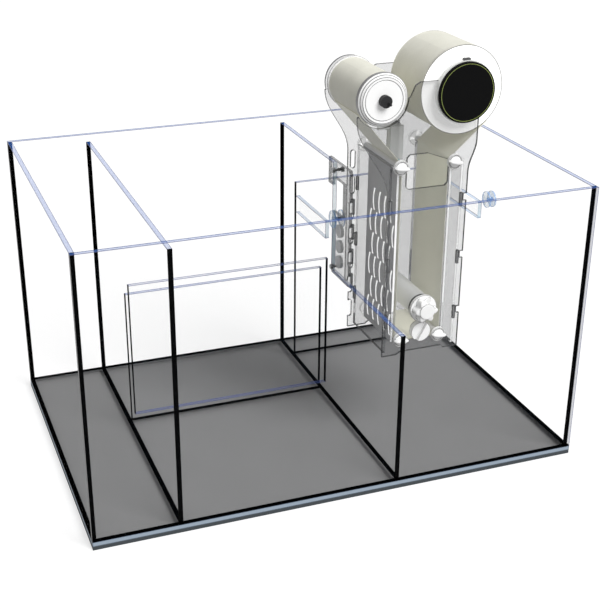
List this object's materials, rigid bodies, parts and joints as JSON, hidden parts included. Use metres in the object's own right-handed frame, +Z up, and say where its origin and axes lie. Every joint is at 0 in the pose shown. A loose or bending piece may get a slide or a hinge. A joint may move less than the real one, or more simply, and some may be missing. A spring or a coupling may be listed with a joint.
{
  "type": "divided aquarium sump tank with fleece roller filter",
  "caption": "Rectangular glass sump tank for a marine aquarium, divided into chambers by glass panes, with an automatic fleece roller filter hung on a divider.",
  "frame": {"origin": "middle of the face that the base board stands on", "axes": "+X along the tank's length to the right as seen from the front, +Y from the front pane to the back pane, +Z up"},
  "size_m": [0.884, 0.6, 0.736],
  "materials": {
    "foam_board": "matt closed-cell foam board",
    "tank_glass": "clear float glass, ground edges",
    "black_silicone": "cured silicone",
    "clamp_acrylic": "clear, turned",
    "smoked_acrylic": "smoked, laser cut",
    "buffer_grey": "matt, translucent",
    "bolt_steel": "stainless",
    "box_acrylic": "translucent, laser cut",
    "louvre_grey": "matt sheet",
    "rod_white": "extruded",
    "knob_white": "moulded, satin",
    "fleece": "needled filter fleece",
    "core_card": "wound tube",
    "puck_black": "moulded, fine grain",
    "rim_pale": "moulded",
    "catch_dark": "matt",
    "motor_grey": "sealed, matt",
    "shaft_steel": "ground",
    "pipe_grey": "extruded, satin",
    "sensor_clear": "clear, cast"
  },
  "bodies": {
    "tank": {"base_board": "foam_board", "base_glass": "tank_glass", "front_glass": "tank_glass", "back_glass": "tank_glass", "left_glass": "tank_glass", "right_glass": "tank_glass", "floor_seams": "black_silicone", "corner_seams": "black_silicone", "left_divider": "tank_glass", "right_divider": "tank_glass", "divider_seams": "black_silicone", "raised_baffle": "tank_glass", "standing_baffle": "tank_glass", "rear_baffle": "tank_glass", "baffle_seams": "black_silicone", "glass_rails": "tank_glass", "clamp_bolts": "clamp_acrylic", "hanger_plate": "smoked_acrylic", "hanger_buffers": "buffer_grey", "hanger_bolts": "bolt_steel"},
    "filter": {"rear_plate": "box_acrylic", "front_plate": "box_acrylic", "left_panel": "box_acrylic", "right_panel": "box_acrylic", "inner_panel": "box_acrylic", "louvre_plate": "louvre_grey", "upper_left_rod": "rod_white", "upper_right_rod": "rod_white", "lower_left_rod": "rod_white", "lower_right_rod": "rod_white", "rod_nuts": "knob_white", "supply_spindle": "rod_white", "takeup_motor": "motor_grey", "inlet_pipe": "pipe_grey", "sensor_holder": "box_acrylic", "web_supply_run": "fleece", "web_right_run": "fleece", "web_bottom_run": "fleece", "web_left_run": "fleece", "web_takeup_run": "fleece"},
    "supply_roll": {"supply_core": "core_card", "supply_fleece": "fleece"},
    "supply_retainer": {"retainer_puck": "puck_black", "retainer_rim": "rim_pale", "retainer_catch": "catch_dark"},
    "takeup_roll": {"takeup_shaft": "shaft_steel", "takeup_core": "knob_white", "takeup_fleece": "fleece", "takeup_disc": "knob_white", "takeup_hub": "puck_black"},
    "knob_upper_left": {"upper_left_knob": "knob_white"},
    "knob_upper_right": {"upper_right_knob": "knob_white"},
    "knob_lower_left": {"lower_left_knob": "knob_white"},
    "knob_lower_right": {"lower_right_knob": "knob_white"},
    "cap": {"inlet_cap": "knob_white"},
    "plug": {"bypass_plug": "knob_white"},
    "sensor": {"level_sensor": "sensor_clear"},
    "clamp_knob_left": {"left_clamp_knob": "clamp_acrylic"},
    "clamp_knob_right": {"right_clamp_knob": "clamp_acrylic"}
  },
  "joints": [
    {"name": "filter_lift", "type": "slide", "parent": "tank", "child": "filter", "axis": [0, 0, 1], "range_m": [0, 0.009]},
    {"name": "supply_turn", "type": "hinge", "parent": "filter", "child": "supply_roll", "pos_m": [0.237, -0.123, 0.662], "axis": [0, 1, 0], "continuous": true},
    {"name": "takeup_turn", "type": "hinge", "parent": "filter", "child": "takeup_roll", "pos_m": [0.093, -0.123, 0.66], "axis": [0, 1, 0], "continuous": true},
    {"name": "retainer_pull", "type": "slide", "parent": "filter", "child": "supply_retainer", "axis": [0, -1, 0], "range_m": [0, 0.012]},
    {"name": "upper_left_knob_turn", "type": "hinge", "parent": "filter", "child": "knob_upper_left", "pos_m": [0.129, -0.19, 0.544], "axis": [0, 1, 0], "continuous": true},
    {"name": "upper_right_knob_turn", "type": "hinge", "parent": "filter", "child": "knob_upper_right", "pos_m": [0.227, -0.19, 0.545], "axis": [0, 1, 0], "continuous": true},
    {"name": "lower_left_knob_turn", "type": "hinge", "parent": "filter", "child": "knob_lower_left", "pos_m": [0.1416, -0.19, 0.23], "axis": [0, 1, 0], "continuous": true},
    {"name": "lower_right_knob_turn", "type": "hinge", "parent": "filter", "child": "knob_lower_right", "pos_m": [0.2144, -0.19, 0.23], "axis": [0, 1, 0], "continuous": true},
    {"name": "inlet_cap_turn", "type": "hinge", "parent": "filter", "child": "cap", "pos_m": [0.18, -0.194, 0.287], "axis": [0, 1, 0], "range_deg": [0, 90]},
    {"name": "bypass_plug_turn", "type": "hinge", "parent": "filter", "child": "plug", "pos_m": [0.178, -0.19, 0.243], "axis": [0, 1, 0], "range_deg": [0, 90]},
    {"name": "sensor_height", "type": "slide", "parent": "filter", "child": "sensor", "axis": [0, 0, 1], "range_m": [-0.02, 0.02]},
    {"name": "left_clamp_turn", "type": "hinge", "parent": "tank", "child": "clamp_knob_left", "pos_m": [0.1095, 0.008, 0.391], "axis": [1, 0, 0], "continuous": true},
    {"name": "right_clamp_turn", "type": "hinge", "parent": "tank", "child": "clamp_knob_right", "pos_m": [0.4415, 0.046, 0.376], "axis": [1, 0, 0], "continuous": true}
  ],
  "couplings": [
    {"joint": "takeup_turn", "follows": "supply_turn", "ratio": 1.7619}
  ]
}
